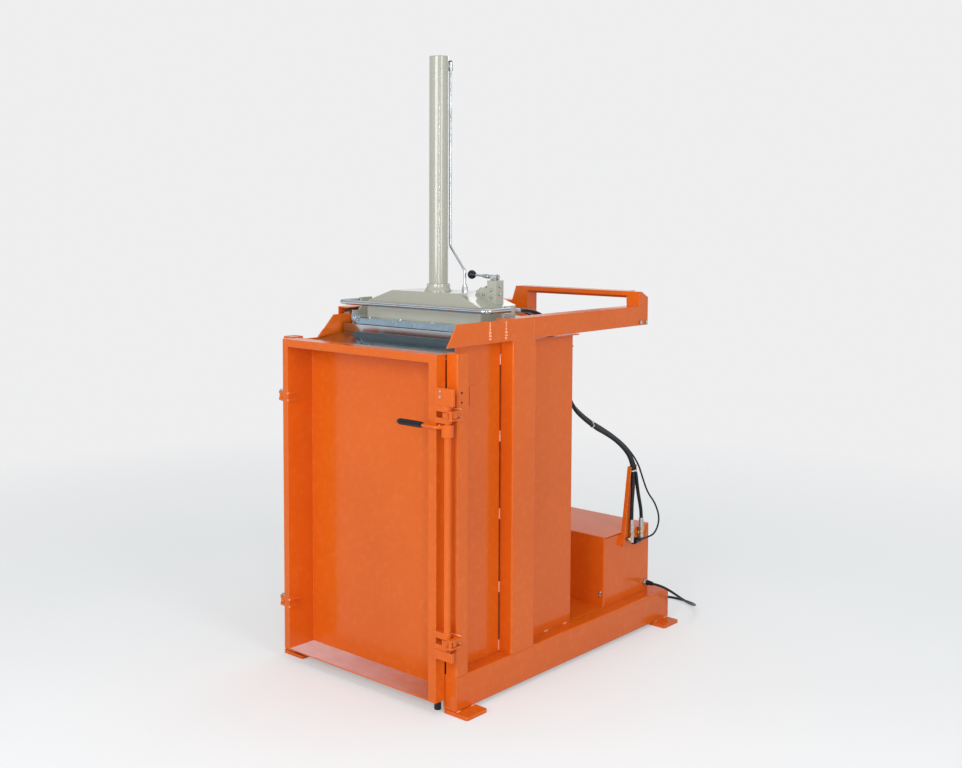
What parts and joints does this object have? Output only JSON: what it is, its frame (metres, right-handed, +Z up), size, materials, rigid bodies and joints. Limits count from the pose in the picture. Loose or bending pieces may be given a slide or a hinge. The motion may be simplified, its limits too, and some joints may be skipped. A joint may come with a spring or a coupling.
{
  "type": "recycling baler",
  "caption": "Upright waste baler with a hinged door, rotary lock bar, rolling press unit with a vertical ram, and a rear power pack.",
  "frame": {"origin": "centre of the four floor anchor holes, on the floor plane", "axes": "+Z up; -Y is the door side; +X is the lock side and -X the hinge side, seen from the front"},
  "size_m": [0.9339, 1.667, 2.249],
  "materials": {
    "orange_paint": "semi-gloss powder coat",
    "cream_paint": "semi-gloss powder coat",
    "galvanised": "bright zinc",
    "zinc_steel": "zinc plated",
    "chrome": "polished",
    "cast_grey": "satin paint",
    "black_rubber": "matt",
    "black_plastic": "gloss"
  },
  "bodies": {
    "frame": {"base_rail_left": "orange_paint", "base_rail_right": "orange_paint", "cable_connector": "black_plastic", "control_cable": "black_rubber", "electric_motor": "cast_grey", "floor_plate": "orange_paint", "foot_plates": "orange_paint", "front_post_left": "orange_paint", "front_post_right": "orange_paint", "gear_pump": "cast_grey", "hinge_lugs": "orange_paint", "hinge_pins": "zinc_steel", "hose_bracket": "orange_paint", "hydraulic_hoses": "black_rubber", "lock_keepers": "orange_paint", "mains_cable": "black_rubber", "mains_coil": "black_rubber", "mains_gland": "zinc_steel", "mains_plug": "black_plastic", "mid_post_left": "orange_paint", "mid_post_right": "orange_paint", "oil_tank": "orange_paint", "pack_cover": "orange_paint", "port_fittings": "zinc_steel", "portal_bolts": "zinc_steel", "rear_cross_member": "orange_paint", "rear_portal": "orange_paint", "rear_wall": "orange_paint", "side_wall_left": "orange_paint", "side_wall_right": "orange_paint", "top_rail_left": "orange_paint", "top_rail_right": "orange_paint"},
    "door": {"door_tray": "orange_paint", "door_buffer": "black_rubber", "lock_brackets": "orange_paint", "lock_covers": "orange_paint"},
    "lock_bar": {"lock_rod": "orange_paint", "lock_cams": "orange_paint", "handle_arm": "orange_paint", "handle_grip": "black_plastic"},
    "press_unit": {"trolley_chassis": "cream_paint", "front_beam": "galvanised", "roller_pins": "zinc_steel", "press_hood": "cream_paint", "handlebar": "chrome", "cylinder_tube": "cream_paint", "cylinder_collar": "cream_paint", "pressure_pipe": "zinc_steel", "pipe_fittings": "zinc_steel", "valve_body": "cream_paint", "hose_ferrules": "zinc_steel"},
    "ram": {"piston_rod": "chrome", "press_plate": "galvanised"},
    "valve_lever": {"lever_arm": "zinc_steel", "lever_knob": "black_plastic"},
    "roller_fl": {"roller_front_left": "zinc_steel"},
    "roller_fr": {"roller_front_right": "zinc_steel"},
    "roller_rl": {"roller_rear_left": "zinc_steel"},
    "roller_rr": {"roller_rear_right": "zinc_steel"}
  },
  "joints": [
    {"name": "door_hinge", "type": "hinge", "parent": "frame", "child": "door", "pos_m": [-0.453, -0.692, 0.609], "axis": [0, 0, 1], "range_deg": [-150, 0]},
    {"name": "lock_turn", "type": "hinge", "parent": "door", "child": "lock_bar", "pos_m": [0.368, -0.7, 0.64], "axis": [0, 0, 1], "range_deg": [0, 90]},
    {"name": "press_unit_roll", "type": "slide", "parent": "frame", "child": "press_unit", "axis": [0, 1, 0], "range_m": [0, 0.57], "deforming": ["hydraulic_hoses", "control_cable"]},
    {"name": "ram_stroke", "type": "slide", "parent": "press_unit", "child": "ram", "axis": [0, 0, 1], "range_m": [-0.7, 0]},
    {"name": "valve_lever_tilt", "type": "hinge", "parent": "press_unit", "child": "valve_lever", "pos_m": [0.19, -0.24, 1.443], "axis": [0, 1, 0], "range_deg": [-15, 15], "stiffness_Nm_per_rad": 1.5},
    {"name": "roller_front_left_spin", "type": "hinge", "parent": "press_unit", "child": "roller_fl", "pos_m": [-0.453, -0.338, 1.2723], "axis": [1, 0, 0], "range_deg": [-1060, 6]},
    {"name": "roller_front_right_spin", "type": "hinge", "parent": "press_unit", "child": "roller_fr", "pos_m": [0.341, -0.338, 1.2723], "axis": [1, 0, 0], "range_deg": [-1060, 6]},
    {"name": "roller_rear_left_spin", "type": "hinge", "parent": "press_unit", "child": "roller_rl", "pos_m": [-0.453, -0.19, 1.2723], "axis": [1, 0, 0], "range_deg": [-1060, 6]},
    {"name": "roller_rear_right_spin", "type": "hinge", "parent": "press_unit", "child": "roller_rr", "pos_m": [0.341, -0.19, 1.2723], "axis": [1, 0, 0], "range_deg": [-1060, 6]}
  ],
  "couplings": [
    {"joint": "roller_front_left_spin", "follows": "press_unit_roll", "rad_per_m": -32.258},
    {"joint": "roller_front_right_spin", "follows": "press_unit_roll", "rad_per_m": -32.258},
    {"joint": "roller_rear_left_spin", "follows": "press_unit_roll", "rad_per_m": -32.258},
    {"joint": "roller_rear_right_spin", "follows": "press_unit_roll", "rad_per_m": -32.258}
  ]
}
